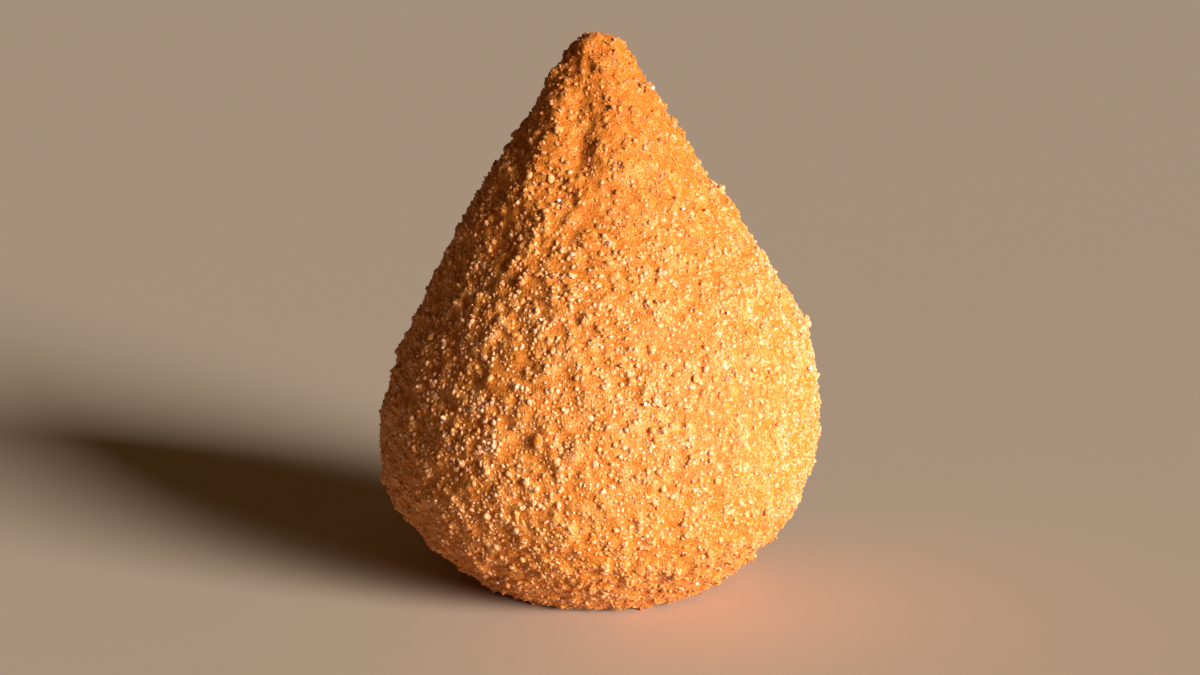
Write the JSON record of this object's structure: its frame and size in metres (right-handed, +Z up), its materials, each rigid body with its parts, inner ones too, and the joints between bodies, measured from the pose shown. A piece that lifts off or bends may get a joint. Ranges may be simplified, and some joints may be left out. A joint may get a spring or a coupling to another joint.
{
  "type": "coxinha",
  "caption": "Whole tear-shaped fried croquette in a rough crust of fine golden breadcrumbs, standing on its small flat base with a blunt tip up.",
  "frame": {"origin": "on the resting plane, under the middle of the croquette's box", "axes": "+Z up along the croquette from its base to its tip, -Y towards its shown side, +X to the right as seen from there"},
  "size_m": [0.0666, 0.0672, 0.0829],
  "materials": {
    "crust": "golden fried breadcrumbs, rough and slightly oily"
  },
  "bodies": {
    "root": {"coxinha": "crust"}
  },
  "joints": []
}
